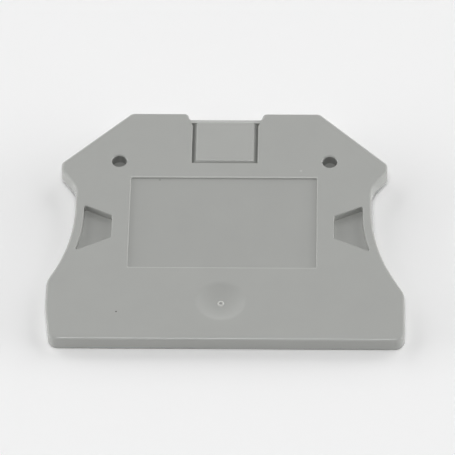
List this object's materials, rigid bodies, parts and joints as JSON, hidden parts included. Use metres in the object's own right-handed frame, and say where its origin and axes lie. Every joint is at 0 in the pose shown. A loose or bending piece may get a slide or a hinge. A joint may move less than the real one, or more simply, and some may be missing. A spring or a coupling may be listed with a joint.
{
  "type": "terminal block end cover",
  "caption": "Thin grey moulded plate that closes the open side of the last terminal block in a row, with a waisted outline, scored break-out tab, label recess and press-in pegs.",
  "frame": {"origin": "middle of the front edge, on the plate's back face, on the line midway between the two pegs", "axes": "+X along the front edge, +Y from the front edge to the scored tab, +Z out of the labelled face"},
  "size_m": [0.0477, 0.0407, 0.0034],
  "materials": {
    "body": "fine spark-eroded matt grey polyamide"
  },
  "bodies": {
    "root": {"end_cover": "body"}
  },
  "joints": []
}
